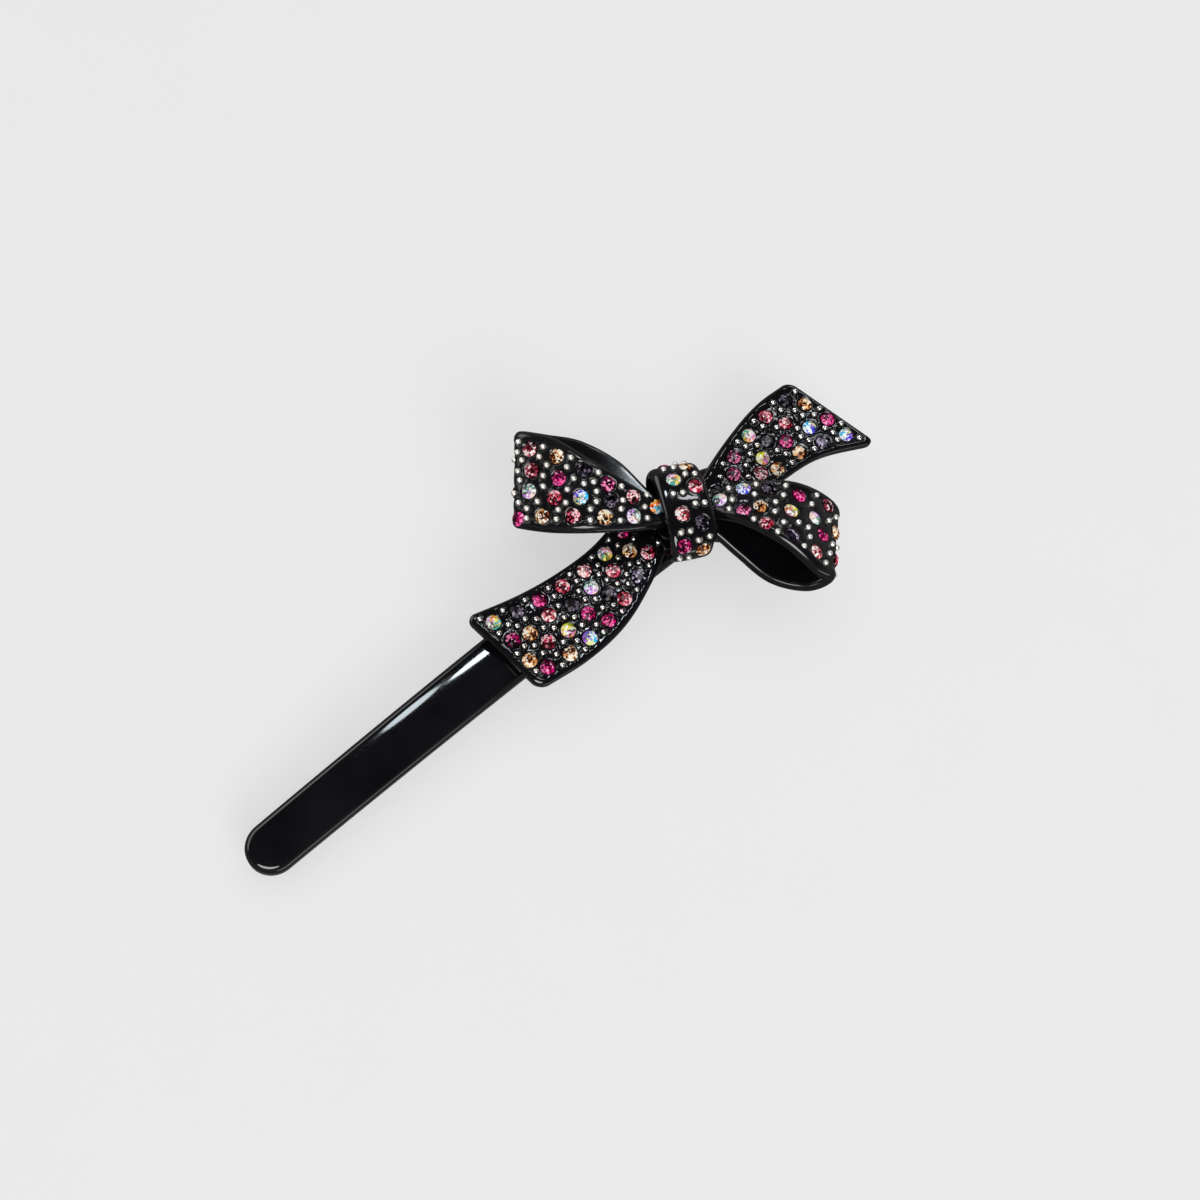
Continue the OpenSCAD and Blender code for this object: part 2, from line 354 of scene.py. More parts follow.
def makeBallMetal(name):
    look, skin = ballLooks[name], ballSkin
    material, nodes, links, shader = startMaterial(
        name + "Metal", Metallic=look["metal"], Coat_Weight=skin["coat"],
        Coat_Roughness=skin["coatRoughness"])
    tarnish = addNoise(nodes, links, skin, "tarnish")
    links.new(addColours(nodes, links, tarnish, look["dull"], look["bright"]), shader.inputs["Base Color"])
    links.new(addRange(nodes, links, tarnish, *look["haze"]), shader.inputs["Roughness"])
    return material


# a pale translucent table, lit a little from below, with a faint grain; half its side is in metres
floorLook = {
    "half": 2.5, "colour": (0.27, 0.27, 0.273), "roughness": 0.65, "glow": 0.555,
    "grainScale": 60, "grainDetail": 4, "grainLight": 1.015,
}


def makeFloorMaterial(look):
    material, nodes, links, shader = startMaterial(
        "paleTable", Roughness=look["roughness"], Emission_Strength=look["glow"],
        Specular_IOR_Level=0.0)
    grain = addNoise(nodes, links, look, "grain")
    lighter = tuple(look["grainLight"] * c for c in look["colour"])
    links.new(addColours(nodes, links, grain, look["colour"], lighter), shader.inputs["Base Color"])
    return material


# meshes

joinDistance, thinnestFace = 2e-7, 1e-8                  # metres


# a mesh from points in mm and arrays of faces; doubles are joined and the faces turned outwards
def addPiece(name, points, faces, material, smooth=True, tidy=True):
    mesh = bpy.data.meshes.new(name)
    mesh.from_pydata((points * mm).tolist(), [], faces if isinstance(faces, list) else faces.tolist())
    if tidy:
        work = bmesh.new()
        work.from_mesh(mesh)
        bmesh.ops.remove_doubles(work, verts=work.verts, dist=joinDistance)
        bmesh.ops.dissolve_degenerate(work, edges=work.edges, dist=thinnestFace)
        bmesh.ops.recalc_face_normals(work, faces=work.faces)
        work.to_mesh(mesh)
        work.free()
    mesh.polygons.foreach_set("use_smooth", np.full(len(mesh.polygons), smooth))
    mesh.materials.append(material)
    mesh.update()
    return addObject(name, mesh)


# quads between neighbouring rings of a grid whose rows are closed rings
def ringQuads(rings, sides, closed=False):
    i = np.arange(rings if closed else rings - 1)[:, None]
    j = np.arange(sides)[None, :]
    after, beside = (i + 1) % rings, (j + 1) % sides
    quads = np.stack([i * sides + j, i * sides + beside, after * sides + beside, after * sides + j], -1)
    return quads.reshape(-1, 4)


# a closed skin: quads between the rings, and one face over each end unless the rings join up
def skinFaces(rings, sides, closed=False):
    faces = ringQuads(rings, sides, closed).tolist()
    if not closed:
        faces += [list(range(sides))[::-1], list(range((rings - 1) * sides, rings * sides))]
    return faces


# steps from an edge inwards along a rounding: radius times one minus the cosine of an even angle
def roundSteps(radius, count):
    return radius * (1 - np.cos(np.linspace(0, np.pi / 2, count)))


# height of a quarter-round edge at a distance from it, as a share: 0 at the edge, 1 inside
def roundShare(distance, radius):
    left = np.clip(1 - distance / radius, 0, 1)
    return np.sqrt(1 - left ** 2)


# points across a strip: half width less even round steps at both edges, with even steps between; a
# rounding takes at most four fifths of the half width
def acrossSteps(half, radius, edgeCount, innerCount, most=0.8):
    radius = np.minimum(radius, half * most)
    edge = half[:, None] - radius[:, None] * roundSteps(1, edgeCount)[None, :]
    inner = (half - radius)[:, None] * np.linspace(1, -1, innerCount + 2)[None, 1:-1]
    return np.hstack([edge, inner, -edge[:, ::-1]])


# the bar

# at each x the section is a dome of the crown's radius, less the round top edge, over an arched flat
# underside; the width tapers evenly and the ends are round seen from above
def makeBar(shape, material):
    length = barHigh[0] - barLow[0]
    halfEnds = np.array([shape["endWidth"], shape["width"]]) / 2
    roundEnd = roundSteps(1, shape["endSteps"])
    ends = -length / 2 + halfEnds[0], length / 2 - halfEnds[1]
    x = np.concatenate([
        -length / 2 + halfEnds[0] * roundEnd,
        np.linspace(*ends, shape["lengthSteps"] + 2)[1:-1],
        (length / 2 - halfEnds[1] * roundEnd)[::-1],
    ])
    half = halfEnds[0] + (halfEnds[1] - halfEnds[0]) * (x / length + 0.5)
    left = np.minimum(length / 2 - abs(x), half)
    edge = np.sqrt(half ** 2 - (half - left) ** 2)
    past = np.maximum(abs(x) - (length / 2 - half), 0)
    under = archCentreZ + np.sqrt((shape["archRadius"] - shape["thickness"]) ** 2 - x ** 2)

    def distanceIn(y):
        return half[:, None] - np.hypot(past[:, None], y)

    yTop = acrossSteps(edge, shape["edgeRadius"], shape["edgeSteps"], shape["topSteps"])
    dome = np.sqrt(shape["crownRadius"] ** 2 - yTop ** 2) - shape["crownRadius"]
    drop = shape["edgeRadius"] * (1 - roundShare(distanceIn(yTop), shape["edgeRadius"]))
    zTop = under[:, None] + shape["thickness"] + dome - drop
    yUnder = -acrossSteps(edge, shape["underEdgeRadius"], shape["underEdgeSteps"], shape["underSteps"])
    lift = shape["underEdgeRadius"] * (1 - roundShare(distanceIn(yUnder), shape["underEdgeRadius"]))
    zUnder = under[:, None] + lift
    y, z = np.hstack([yTop, yUnder]), np.hstack([zTop, zUnder])
    points = np.stack([np.broadcast_to(x[:, None], y.shape), y, z], -1)
    piece = addPiece("barBody", points.reshape(-1, 3), ringQuads(len(x), y.shape[1]), material)
    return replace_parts(piece, "bar")


# the ribbons, in mm from the knot's foot

# tails: x, y, z of the first edge, then of the second, a row for each section from the knot to the tip
# loops: distance out, height, first edge, second edge, lean in degrees, from inside the knot and back
# stones: distance along, distance across, colour letter; balls: distance along and across
# the left pieces are charted as they lie after half a turn about the knot
# paved: where the sunk field starts and ends, from 0 at the first row to 1 at the last; relief and swell:
# strength of the seats' ridges and of the small swells, whose draws the seed starts; skew: how much
# further out one edge goes
loopHeading = -51.0
tailLeft = {
    "name": "tailLeft", "node": "tail_left", "turn": 180, "seed": 3, "paved": (0.0, 1.0),
    "ballRadius": 0.43, "relief": 0.75,
    "rows": np.array([
        [0.2, 0.3, 1.4, 3.7, -6.7, 1.4],
        [9.0, 4.5, 1.9, 12.0, -5.0, 1.9],
        [16.5, 7.0, 2.3, 19.0, -5.0, 2.3],
        [24.0, 7.5, 2.5, 26.0, -6.0, 2.5],
        [32.4, 6.5, 2.6, 33.9, -8.0, 2.9],
    ]),
    "stones": [
        (29.5, -4.7, "G"), (29.5, -1.0, "M"), (30.0, 2.8, "P"), (28.9, 4.9, "F"),
        (25.6, -4.7, "V"), (26.9, -0.8, "P"), (26.0, 1.6, "R"), (25.2, 4.8, "P"),
        (21.9, -4.4, "F"), (22.8, -1.8, "L"), (22.7, 1.7, "Y"), (21.5, 4.4, "B"),
        (17.9, -4.1, "R"), (19.3, -1.1, "V"), (18.8, 1.4, "F"), (17.6, 4.0, "F"),
        (13.7, -3.6, "L"), (15.3, -1.2, "A"), (14.5, 1.3, "V"), (13.7, 3.4, "R"),
        (9.5, -2.9, "G"), (11.1, -0.5, "R"), (9.7, 3.0, "U"),
        (7.0, -0.2, "P"), (5.8, 2.2, "R"), (4.7, -2.6, "F"),
    ],
    "balls": [
        (30.6, -6.0), (27.1, -5.7), (28.2, -3.4), (30.2, -2.8), (27.4, -2.6), (25.8, -3.0), (24.6, -2.2),
        (23.5, -5.5), (29.0, 0.6), (30.6, 1.1), (27.9, 1.2), (27.9, 2.8), (30.6, 4.7), (27.3, 5.7),
        (26.7, 3.9), (24.9, -0.5), (23.9, 0.3), (24.6, 2.8), (23.1, 3.7), (23.3, 5.4), (21.6, -0.2),
        (20.6, 0.6), (20.8, -2.1), (19.6, -5.1), (20.0, -3.6), (20.8, 2.2), (19.4, 3.4), (19.6, 4.9),
        (15.7, -4.7), (15.9, -3.3), (17.0, -2.0), (17.4, -0.5), (16.4, 0.5), (16.8, 2.1), (15.5, 2.9),
        (15.5, 4.4), (11.2, -4.1), (11.8, -2.7), (12.9, -1.7), (12.9, -0.3), (12.5, 1.2), (11.6, 2.4),
        (11.6, 3.9), (10.5, 1.4), (9.0, -1.0), (8.9, 0.9), (7.9, 1.8), (7.5, 3.3), (7.2, -2.1),
        (7.2, -3.6), (5.0, -0.6), (3.7, 2.7),
    ],
}
tailRight = {
    "name": "tailRight", "node": "tail_right", "turn": 0, "seed": 5, "paved": (0.0, 1.0),
    "ballRadius": 0.48, "relief": 1.15, "swell": 0.5,
    "rows": np.array([
        [0.2, 0.3, 1.1, 3.7, -6.7, 1.1],
        [9.0, 3.4, 1.2, 12.5, -5.0, 1.2],
        [16.5, 5.5, 1.3, 19.0, -5.0, 1.3],
        [23.5, 6.7, 1.3, 25.5, -6.0, 1.7],
        [30.4, 6.5, 1.2, 33.5, -9.8, 2.2],
    ]),
    "stones": [
        (26.9, 5.0, "V"), (28.6, 3.1, "P"), (28.8, -1.0, "F"), (28.4, -4.9, "B"),
        (22.1, 3.9, "R"), (23.4, 1.3, "R"), (25.4, -1.2, "B"), (24.7, -4.6, "U"),
        (17.8, 3.3, "G"), (19.0, 0.7, "V"), (20.8, -1.2, "F"), (20.7, -3.9, "P"),
        (13.6, 2.6, "M"), (16.1, -0.7, "Y"), (16.0, -3.5, "P"),
        (11.1, 0.9, "M"), (13.7, -2.1, "W"), (9.4, -2.4, "R"), (7.2, 1.0, "V"),
    ],
    "balls": [
        (29.5, 5.9), (24.9, 5.3), (24.7, 3.6), (26.3, 2.6), (26.4, 1.2), (27.9, 0.6), (29.5, 1.3),
        (29.6, -2.7), (29.3, -6.4), (27.0, -2.4), (27.2, -3.7), (26.6, -5.2), (20.2, 4.4), (20.4, 2.9),
        (21.7, 1.4), (23.8, -0.5), (23.0, -2.0), (23.4, -3.2), (22.8, -4.8), (15.9, 3.8), (16.0, 2.4),
        (17.3, 1.3), (18.6, -1.4), (19.0, -2.7), (15.4, 1.1), (18.4, -4.3), (11.7, 3.1), (13.4, 0.3),
        (11.9, -1.1), (9.6, 2.2), (11.4, -3.2), (9.2, -0.3), (7.4, -1.1), (5.4, 0.4),
    ],
}
loopLeft = {
    "name": "loopLeft", "node": "loop_left", "turn": 180, "seed": 7, "paved": (0.03, 0.6), "skew": -0.18,
    "rows": np.array([
        [0.4, 7.4, 2.5, -0.4, 0],
        [4.0, 7.5, 4.0, -0.4, 4],
        [8.5, 9.8, 6.0, -1.0, 14],
        [14.5, 10.5, 7.6, -2.9, 16],
        [19.5, 8.5, 7.7, -5.7, 16],
        [23.8, 6.0, 7.0, -6.8, 16],
        [20.0, 3.3, 5.5, -8.3, 16],
        [15.0, 2.5, 4.0, -8.9, 12],
        [9.5, 3.8, 3.0, -6.8, 3],
        [4.0, 5.1, 2.5, -2.1, 0],
        [0.4, 5.1, 2.5, -2.0, 0],
    ]),
    "stones": [
        (3.9, -1.0, "H"), (7.5, 1.1, "A"), (7.9, -1.6, "W"), (11.6, 2.3, "P"), (11.0, -0.3, "V"),
        (11.7, -2.4, "M"), (16.0, 3.4, "R"), (15.1, 0.5, "B"), (15.0, -3.5, "V"), (20.8, 4.7, "P"),
        (19.0, 1.7, "R"), (18.5, -1.2, "F"), (19.0, -4.2, "P"), (23.0, 1.5, "A"), (22.7, -1.5, "W"),
        (23.1, -4.5, "W"), (24.5, 5.6, "F"), (25.8, 1.9, "R"), (26.6, -1.6, "V"), (27.2, -4.9, "P"),
    ],
    "balls": [
        (24.6, -5.4), (24.7, -3.9), (24.1, -2.8), (24.6, -1.2), (24.3, 0.1), (21.1, -5.1), (21.6, -3.6),
        (20.4, -2.6), (20.9, -1.0), (20.8, 0.5), (21.6, 2.8), (24.4, 3.3), (23.2, 4.0), (23.2, 5.4),
        (18.4, 4.6), (18.2, 3.2), (17.1, 1.9), (17.0, 0.0), (16.2, -1.8), (16.8, -4.6), (17.3, -3.1),
        (14.8, -1.5), (13.6, -2.1), (13.1, -0.9), (13.0, 0.5), (13.7, 1.8), (13.6, 3.3), (13.1, -3.6),
        (9.8, -2.6), (9.4, -0.7), (9.5, 0.6), (9.4, 2.2), (6.0, -2.4), (6.1, -0.6), (5.4, 0.9),
        (26.2, 3.9), (26.8, 0.2), (25.0, 2.0), (27.1, -3.1), (25.4, -2.9),
    ],
}
loopRight = {
    "name": "loopRight", "node": "loop_right", "turn": 0, "seed": 9, "paved": (0.03, 0.6), "skew": 0.04,
    "rows": np.array([
        [0.4, 7.4, 2.5, -0.5, 0],
        [4.0, 7.5, 4.0, -0.4, 4],
        [8.5, 9.8, 6.0, -1.6, 14],
        [14.5, 10.5, 7.5, -4.3, 16],
        [19.5, 8.5, 7.8, -6.6, 16],
        [22.4, 6.0, 6.9, -6.9, 16],
        [20.0, 3.3, 5.5, -8.0, 16],
        [15.0, 2.5, 4.0, -7.2, 12],
        [9.5, 3.8, 3.0, -4.2, 3],
        [4.0, 5.1, 2.5, -1.6, 0],
        [0.4, 5.1, 2.5, -1.8, 0],
    ]),
    "stones": [
        (4.9, 0.1, "A"), (8.1, 2.0, "B"), (8.4, -2.0, "M"), (10.7, -0.8, "P"), (11.7, -3.7, "R"),
        (11.7, 2.9, "V"), (16.0, 3.5, "F"), (15.0, 0.0, "Y"), (18.9, 1.1, "A"), (15.3, -4.5, "U"),
        (21.3, 5.2, "W"), (20.7, -0.8, "F"), (19.7, -4.7, "L"), (23.3, 1.4, "P"), (24.0, -3.1, "R"),
        (25.1, 4.6, "V"), (26.6, -0.4, "F"), (26.4, -4.7, "P"),
    ],
    "balls": [
        (9.8, 3.0), (6.1, 1.9), (9.7, 1.1), (6.8, -0.2), (6.5, -1.8), (12.7, 0.5), (13.9, 4.1),
        (13.7, 2.2), (18.8, 5.4), (18.0, 3.1), (14.0, -2.8), (16.1, -1.7), (13.3, -4.8), (17.7, -1.6),
        (18.1, -3.1), (17.2, -5.4), (21.5, 2.3), (22.9, 4.0), (22.5, -1.5), (24.0, -0.5), (22.1, -3.5),
        (21.4, -5.7), (9.9, -3.5), (12.7, -1.3), (25.2, 2.4), (26.0, 1.6), (25.8, -2.3), (24.3, -5.2),
    ],
}

# the knot's band: base is its lowest point above the bar, square how square its outline is, and nipFrom
# where its near side starts to be nipped; its chart starts halfway round, at the top
knotShape = {
    "name": "knotBand", "node": "knot", "turn": 0, "seed": 13, "paved": (0.0, 1.0), "chartStart": 0.5,
    "width": 14.0, "top": 10.0, "length": 7.2, "wall": 1.2, "nip": 0.9,
    "heading": -27.0, "base": 2.6, "square": 2.4, "nipFrom": 0.7,
    "stones": [
        (-7.6, -1.0, "F"), (-5.7, 1.8, "P"), (-3.7, -0.9, "G"), (-2.1, 1.9, "R"), (1.6, -1.2, "L"),
        (3.2, 1.3, "V"), (5.9, -1.6, "M"), (6.8, 1.4, "P"),
    ],
    "balls": [
        (-7.4, 0.9), (-7.5, 2.3), (-5.8, -1.6), (-5.8, -0.1), (-4.2, 1.0), (-4.0, 2.4), (-1.5, -1.7),
        (-1.4, -0.3), (0.5, 1.0), (0.6, 2.4), (4.1, -2.1), (4.1, -0.7), (5.4, 0.4), (5.2, 2.1),
        (7.4, -2.1), (7.5, -0.7),
    ],
}

# how the strips are finished, in mm: the side wall goes from wallFoot to wallTop, about the middle, and
# edge, underEdge and corner are roundings; inside the rim the field is sunk by the recess, or domed by
# the crown; bumps and seats are the strength of the swells and of the seats' relief
ribbonFinish = {
    "half": 0.95, "wallTop": 0.35, "wallFoot": -0.3, "edge": 0.95, "underEdge": 0.6, "corner": 1.6,
    "rim": 0.9, "rimSlope": 0.8, "recess": 0.13, "crown": 0.0, "bumps": 0.035, "seats": 1.0,
}
loopFinish = {
    "half": 0.95, "wallTop": 0.0, "wallFoot": -0.3, "edge": 1.3, "underEdge": 0.6, "corner": 0.0,
    "rim": 1.3, "rimSlope": 0.5, "recess": 0.14, "crown": 0.0, "bumps": 0.03, "seats": 1.0,
}
knotFinish = {
    "half": 0.6, "wallTop": -0.1, "wallFoot": -0.3, "edge": 1.15, "underEdge": 0.35, "corner": 0.0,
    "rim": 0.0, "rimSlope": 1.0, "recess": 0.0, "crown": 0.16, "bumps": 0.0, "seats": 0.2,
}
# the seats: each stone and ball sits in a hole at the bottom of a dish, and ridges stand between dishes;
# they fade in from a share of the edge's rounding inwards, and along the start and end of the field
seatShape = {
    "stoneRadius": 1.08, "ballRadius": 0.44, "holeGap": 0.09, "holeWall": 0.12,
    "stoneHole": 0.22, "ballHole": 0.16, "stoneDish": 0.17, "ballDish": 0.1, "stoneDishWidth": 0.6,
    "ballDishWidth": 0.4, "lip": 0.03, "lipOut": 0.16, "lipWidth": 0.16,
    "stoneLift": -0.09, "ballLift": 0.03,
    "fieldStart": 0.6, "fieldFade": 0.5, "startFade": 0.02, "endFade": 0.03,
}
# the moulded face's swells: wave lengths in mm, and how fast each turns over its own length
swellShape = {"waves": (1.9, 1.2, 0.7), "turn": 2.2}
# the mesh: spacing of the points, how much wider it is on plain parts, steps round the edges, and steps
# that the length is measured by; the nudges are the small moves that slopes are measured over, the
# first two on the scale of paved
stripMesh = {
    "spacing": 0.12, "quickSpacing": 0.3, "plain": 2.4, "endSteps": 10, "edgeSteps": 9,
    "underEdgeSteps": 6, "underSteps": 12, "lengthSteps": 1200,
    "frameNudge": 0.001, "alongNudge": 0.002, "acrossNudge": 0.02,
}


# a smooth curve through each side's rows
def tailEdges(strip, t):
    rows = splineRows(strip["rows"], t)
    return rows[:, :3], rows[:, 3:]


# out along the loop's heading, up, and across on a section that leans by its own angle
def loopEdges(strip, t):
    out, height, first, second, lean = splineRows(strip["rows"], t).T
    far = strip["rows"][:, 0].max()
    lean = np.radians(lean)[:, None]
    side = heading(loopHeading + 90) * np.cos(lean) - np.array([0, 0, 1.0]) * np.sin(lean)
    outward, upward = heading(loopHeading), np.array([0, 0, 1.0])
    return [outward * (out * (1 + strip["skew"] * w / far))[:, None] + upward * height[:, None]
            + side * w[:, None] for w in (first, second)]


# a superellipse: signed powers of the cosine and sine, once round from below
def knotEdges(strip, t):
    angle = -np.pi / 2 + 2 * np.pi * t
    power = 2 / strip["square"]
    across = np.sign(np.cos(angle)) * abs(np.cos(angle)) ** power
    rise = np.sign(np.sin(angle)) * abs(np.sin(angle)) ** power
    halfRise = (strip["top"] - strip["base"] - strip["wall"]) / 2
    middle = heading(strip["heading"] + 90) * (across * (strip["width"] - strip["wall"]) / 2)[:, None]
    middle[:, 2] += (strip["top"] + strip["base"]) / 2 + rise * halfRise
    turned = np.clip((-across - strip["nipFrom"]) / (1 - strip["nipFrom"]), 0, 1)
    nip = strip["nip"] * (1 - np.cos(np.pi * turned)) / 2
    along = heading(strip["heading"])
    return middle + along * (strip["length"] / 2 - nip)[:, None], middle - along * strip["length"] / 2


# middle line, half width, direction across and outward normal at each t
def stripFrames(strip, t):
    edges, nudge = strip["edges"], stripMesh["frameNudge"]
    a, b = edges(strip, t)
    ahead, behind = sum(edges(strip, t + nudge)), sum(edges(strip, t - nudge))
    middle, half, across = (a + b) / 2, np.linalg.norm(a - b, axis=1) / 2, unitRows(a - b)
    return middle, half, across, unitRows(np.cross(ahead - behind, across))


# distance in from an outline with round corners
def roundedDistance(fromEnd, fromSide, corner):
    d = np.minimum(fromEnd, fromSide)
    if corner:
        near = (fromEnd < corner) & (fromSide < corner)
        d = np.where(near, corner - np.hypot(corner - fromEnd, corner - fromSide), d)
    return np.maximum(d, 0)


# how far along the middle line each t is, added up over short straight steps
def stripLengths(strip):
    t = np.linspace(0, 1, stripMesh["lengthSteps"])
    middle = stripFrames(strip, t)[0]
    return t, np.concatenate([[0], np.cumsum(np.linalg.norm(np.diff(middle, axis=0), axis=1))])


# the outer face's base height at a distance from the outline, without seats
def faceHeight(finish, distance, share, paved):
    top = finish["wallTop"]
    rounded = top + (finish["half"] - top) * roundShare(distance, finish["edge"])
    sunk = finish["recess"] * smoothStep((distance - finish["rim"]) / finish["rimSlope"]) * paved
    return rounded - sunk + finish["crown"] * (1 - share ** 2)


# centres, normals and tangents of the settings: the chart's distances carried onto the outer face
def settingPlaces(strip, chart, lift):
    finish = strip["finish"]
    t, lengths = stripLengths(strip)
    start = np.interp(strip.get("chartStart", 0.0), t, lengths)
    spots = np.array([row[:2] for row in chart], float)
    at = np.interp(start + spots[:, 0], lengths, t)
    inside = finish["half"] - finish["recess"]

    def faceAt(t, w):
        middle, half, across, up = stripFrames(strip, t)
        height = inside + finish["crown"] * (1 - (w / half) ** 2) + lift
        return middle + across * w[:, None] + up * height[:, None]

    centre = faceAt(at, spots[:, 1])
    nudge = stripMesh["alongNudge"]
    along = faceAt(at + nudge, spots[:, 1]) - faceAt(at - nudge, spots[:, 1])
    nudge = stripMesh["acrossNudge"]
    across = faceAt(at, spots[:, 1] + nudge) - faceAt(at, spots[:, 1] - nudge)
    return centre, unitRows(np.cross(along, across)), unitRows(across)


# small irregular swells of the moulded face: sines of three slanted directions multiplied together
def swells(points, seed):
    draws = np.random.default_rng(seed)
    total = 0
    for wave in swellShape["waves"]:
        turns = draws.normal(size=(3, 3))
        phase = draws.uniform(0, 2 * np.pi, 3)
        angle = points @ turns.T / wave * swellShape["turn"] + phase
        total = total + np.prod(np.sin(angle), axis=-1) * wave
    return total


# relief round settings: the dish is a bell of the distance from the hole, the lip a bell about a ring
def seatRelief(points, centres, radius, kind):
    seat = seatShape
    lips, dishes, holes = np.zeros((3, len(points)))
    for centre in centres:
        far = np.linalg.norm(points - centre, axis=1) - radius - seat["holeGap"]
        lips += np.exp(-((far - seat["lipOut"]) / seat["lipWidth"]) ** 2)
        dishes += np.exp(-(np.maximum(far, 0) / seat[kind + "DishWidth"]) ** 2)
        holes = np.maximum(holes, 1 - smoothStep(far / seat["holeWall"] + 0.5))
    relief = seat["lip"] * np.tanh(lips) - seat[kind + "Dish"] * np.tanh(dishes)
    return relief, seat[kind + "Hole"] * holes


# a strip: rings round a section whose outer face is worked from the distance to the outline, with a
# raised rim, a sunk field and the seats, and whose inner face is plain
def makeStrip(strip, material):
    finish, closed, seat, steps = strip["finish"], strip["closed"], seatShape, stripMesh
    spacing = steps["spacing"]
    tLine, lengths = stripLengths(strip)
    total = lengths[-1]
    pavedStart, pavedEnd = strip["paved"]
    fine = np.arange(0, total * pavedEnd, spacing)
    coarse = np.arange(total * pavedEnd, total, spacing * steps["plain"])
    places = np.concatenate([fine, coarse])
    if not closed:
        ends = roundSteps(finish["edge"], steps["endSteps"])
        middle = places[(places > finish["edge"]) & (places < total - finish["edge"])]
        places = np.concatenate([ends, middle, (total - ends)[::-1]])
    t = np.interp(places, lengths, tLine)
    middle, half, across, up = stripFrames(strip, t)
    fromEnd = np.full(len(t), np.inf) if closed else np.minimum(places, total - places)
    left = np.clip(finish["corner"] - fromEnd, 0, None)
    pull = finish["corner"] - np.sqrt(finish["corner"] ** 2 - left ** 2)
    edge = half - pull

    def facePoints(w, height):
        return middle[:, None] + across[:, None] * w[..., None] + up[:, None] * height[..., None]

    wOuter = acrossSteps(edge, finish["edge"], steps["edgeSteps"], int(2 * half.max() / spacing))
    distance = roundedDistance(fromEnd[:, None], half[:, None] - abs(wOuter), finish["corner"])
    paved = smoothStep((t - pavedStart) / seat["startFade"] + (pavedStart == 0))
    paved = paved * smoothStep((pavedEnd - t) / seat["endFade"] + (pavedEnd == 1))
    outer = faceHeight(finish, distance, wOuter / half[:, None], paved[:, None])
    base = facePoints(wOuter, outer).reshape(-1, 3)
    stoneRelief, stoneHoles = seatRelief(base, strip["stonePlaces"][0], seat["stoneRadius"], "stone")
    ballRelief, ballHoles = seatRelief(base, strip["ballPlaces"][0], strip["ballRadius"], "ball")
    inField = smoothStep((distance.ravel() - finish["edge"] * seat["fieldStart"]) / seat["fieldFade"])
    inField = inField * np.repeat(paved, wOuter.shape[1])
    relief = finish["seats"] * strip.get("relief", 1.0) * (stoneRelief + ballRelief)
    relief += finish["bumps"] * strip.get("swell", 1.0) * swells(base, strip["seed"])
    relief = (relief - np.maximum(stoneHoles, ballHoles)) * inField
    outer = outer + relief.reshape(outer.shape)

    wInner = -acrossSteps(edge, finish["underEdge"], steps["underEdgeSteps"], steps["underSteps"])
    distance = roundedDistance(fromEnd[:, None], half[:, None] - abs(wInner), finish["corner"])
    foot = finish["wallFoot"]
    inner = foot - (finish["half"] + foot) * roundShare(distance, finish["underEdge"])
    points = np.concatenate([facePoints(wOuter, outer), facePoints(wInner, inner)], axis=1)
    faces = skinFaces(len(t), points.shape[1], closed)
    piece = addPiece(strip["name"], strip["place"](points.reshape(-1, 3)), faces, material)
    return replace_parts(piece, strip["node"])


# the stones and balls

# each stone's colour painted from the shade of its darkest facet to the painted highlight of its palest,
# and for the iridescent ones the coating's colours in order round the stone, with near-white steps that are
# painted glints
stoneColoursShadeToGlint = {
    "F": [(26, 0, 12), (78, 0, 38), (140, 0, 70), (210, 4, 112), (252, 96, 172)],           # fuchsia
    "M": [(18, 0, 10), (60, 0, 32), (118, 2, 62), (180, 20, 100), (250, 140, 190)],         # plum
    "R": [(50, 2, 12), (120, 12, 34), (188, 40, 70), (240, 98, 126), (255, 210, 216)],      # rose
    "L": [(76, 16, 26), (152, 50, 62), (212, 100, 112), (252, 172, 176), (255, 246, 244)],  # light rose
    "W": [(32, 4, 10), (88, 16, 30), (152, 50, 70), (214, 112, 130), (255, 224, 226)],      # wine
    "P": [(44, 18, 6), (144, 78, 34), (222, 150, 88), (255, 206, 148), (255, 250, 232)],    # peach
    "V": [(2, 1, 2), (5, 3, 6), (13, 10, 16), (34, 27, 40), (96, 86, 106)],                 # dark violet
    "U": [(12, 8, 16), (30, 24, 38), (62, 51, 76), (98, 85, 116), (186, 172, 204)],         # violet
}
auroraColoursAndGlints = {
    "A": [(255, 255, 252), (170, 232, 216), (90, 100, 92), (222, 160, 250), (255, 222, 214)],
    "B": [(60, 200, 252), (244, 252, 255), (64, 84, 240), (184, 120, 240), (236, 240, 160)],
    "Y": [(240, 236, 60), (255, 255, 180), (240, 160, 90), (236, 140, 200), (140, 150, 40)],
    "G": [(90, 196, 190), (246, 238, 100), (246, 160, 100), (224, 140, 206), (255, 252, 236)],
    "H": [(100, 206, 244), (226, 246, 250), (250, 190, 50), (226, 60, 24), (250, 146, 36)],
}
# the cut, in stone radii, and the painted light and shade of each group of facets, from the table's middle
# to the culet
stoneCut = {
    "mains": 8, "table": 0.54, "inner": 0.27, "star": 0.77, "tableHeight": 0.34, "starHeight": 0.2,
    "girdle": 0.08, "culet": 0.3,
    "shades": (0.30, 0.42, 0.52, 0.55, 0.62, 0.55, 0.50, 0.58, 0.2, 0.2, 0.1),
}
# painted light on the facets: how far the table is drawn darker or lighter, which shades count as table,
# how much all facets are dimmed, how strong the painted lit side and each facet's own lighter and darker
# draw are, and the share of facets painted white as glints
stonePaintedLight = {
    "tableDraw": (-0.3, 0.2), "tableShade": 0.45, "dim": 0.12, "side": 0.36, "draw": 1.2, "paintedGlint": 0.06,
    "auroraTurn": 1.6, "auroraPaintedGlint": 0.22, "auroraLeast": 0.1, "auroraMiddle": 0.62, "auroraLight": 1.2,
}


